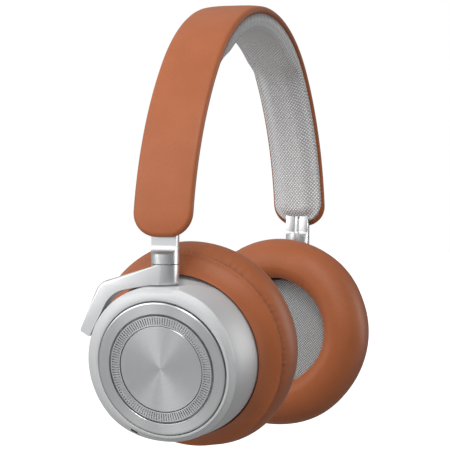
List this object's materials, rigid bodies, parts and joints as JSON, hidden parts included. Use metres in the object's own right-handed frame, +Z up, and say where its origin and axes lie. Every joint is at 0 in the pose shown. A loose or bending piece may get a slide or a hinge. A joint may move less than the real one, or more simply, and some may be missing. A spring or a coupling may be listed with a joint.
{
  "type": "over-ear headphones",
  "caption": "Over-ear headphones with a padded leather headband, curved sliders, one-sided yoke arms and round cups that tilt and fold flat.",
  "frame": {"origin": "the underside of the headband pad at the middle of the crown, where it rests on the head", "axes": "+Z up, +X to the wearer's left, -Y to the wearer's front; the yoke arms are behind the cups"},
  "size_m": [0.1877, 0.091, 0.1975],
  "materials": {
    "tan_leather": "fine-grained, satin",
    "knit_fabric": "diagonal knit",
    "speaker_fabric": "open woven cloth",
    "satin_aluminium": "bead-blasted and anodised",
    "brushed_aluminium": "turned in circles, anodised",
    "satin_shell": "satin metallic paint",
    "spring_steel": "bright",
    "black_nylon": "moulded, fine texture",
    "port_mesh": "dark mesh",
    "polyimide_film": "amber film",
    "circuit_laminate": "solder mask",
    "battery_wrap": "foil pouch",
    "driver_plastic": "moulded",
    "magnet_steel": "plated",
    "socket_steel": "drawn",
    "socket_plastic": "moulded",
    "black_switch": "moulded, ribbed",
    "button_metal": "satin"
  },
  "bodies": {
    "headband": {"band_cover": "tan_leather", "band_frame": "black_nylon", "spring_band": "spring_steel", "band_ribbon": "polyimide_film", "band_pad": "knit_fabric", "slide_guide_right": "black_nylon", "slide_guide_left": "black_nylon", "detent_leaf_right": "spring_steel", "detent_leaf_left": "spring_steel", "guide_screws_right": "spring_steel", "guide_screws_left": "spring_steel"},
    "slider_right": {"slider_stem_right": "satin_aluminium", "swivel_pin_right": "black_nylon", "swivel_washer_right": "black_nylon"},
    "slider_left": {"slider_stem_left": "satin_aluminium", "swivel_pin_left": "black_nylon", "swivel_washer_left": "black_nylon"},
    "yoke_right": {"yoke_arm_right": "satin_aluminium", "tilt_pin_right": "spring_steel"},
    "yoke_left": {"yoke_arm_left": "satin_aluminium", "tilt_pin_left": "spring_steel"},
    "cup_right": {"housing_right": "satin_shell", "outer_disc_right": "brushed_aluminium", "slot_ring_right": "brushed_aluminium", "touch_plate_right": "brushed_aluminium", "tilt_bush_right": "black_nylon", "mic_port_right": "port_mesh", "circuit_board_right": "circuit_laminate", "baffle_right": "black_nylon", "baffle_screws_right": "spring_steel", "driver_frame_right": "driver_plastic", "driver_magnet_right": "magnet_steel", "driver_diaphragm_right": "polyimide_film", "speaker_cloth_right": "speaker_fabric", "cushion_plate_right": "black_nylon", "cushion_skirt_right": "tan_leather", "cushion_pad_right": "tan_leather", "charge_socket": "socket_steel"},
    "cup_left": {"housing_left": "satin_shell", "outer_disc_left": "brushed_aluminium", "slot_ring_left": "brushed_aluminium", "touch_plate_left": "brushed_aluminium", "tilt_bush_left": "black_nylon", "mic_port_left": "port_mesh", "circuit_board_left": "circuit_laminate", "battery": "battery_wrap", "baffle_left": "black_nylon", "baffle_screws_left": "spring_steel", "driver_frame_left": "driver_plastic", "driver_magnet_left": "magnet_steel", "driver_diaphragm_left": "polyimide_film", "speaker_cloth_left": "speaker_fabric", "cushion_plate_left": "black_nylon", "cushion_skirt_left": "tan_leather", "cushion_pad_left": "tan_leather", "jack_socket": "socket_plastic"},
    "power_slide_body": {"power_slide": "black_switch"},
    "action_button_body": {"action_button": "button_metal"}
  },
  "joints": [
    {"name": "extend_right", "type": "hinge", "parent": "headband", "child": "slider_right", "pos_m": [0.04371, 0, -0.0996], "axis": [0, -1, 0], "range_deg": [-1.5, 11]},
    {"name": "swivel_right", "type": "hinge", "parent": "slider_right", "child": "yoke_right", "pos_m": [-0.0822, 0, -0.105], "axis": [0, 0, -1], "range_deg": [-10, 90]},
    {"name": "tilt_right", "type": "hinge", "parent": "yoke_right", "child": "cup_right", "pos_m": [-0.085, 0.03, -0.12745], "axis": [0, -1, 0], "range_deg": [-10.2, 3.8]},
    {"name": "extend_left", "type": "hinge", "parent": "headband", "child": "slider_left", "pos_m": [-0.04371, 0, -0.0996], "axis": [0, 1, 0], "range_deg": [-1.5, 11]},
    {"name": "swivel_left", "type": "hinge", "parent": "slider_left", "child": "yoke_left", "pos_m": [0.0822, 0, -0.105], "axis": [0, 0, 1], "range_deg": [-10, 90]},
    {"name": "tilt_left", "type": "hinge", "parent": "yoke_left", "child": "cup_left", "pos_m": [0.085, 0.03, -0.12745], "axis": [0, 1, 0], "range_deg": [-4.8, 9.2]},
    {"name": "power_slide_travel", "type": "slide", "parent": "cup_right", "child": "power_slide_body", "axis": [-0.9842, 0, -0.1771], "range_m": [0, 0.002]},
    {"name": "action_button_press", "type": "slide", "parent": "cup_left", "child": "action_button_body", "axis": [0.0418, -0.866, 0.4982], "range_m": [0, 0.0006], "stiffness_N_per_m": 600}
  ]
}
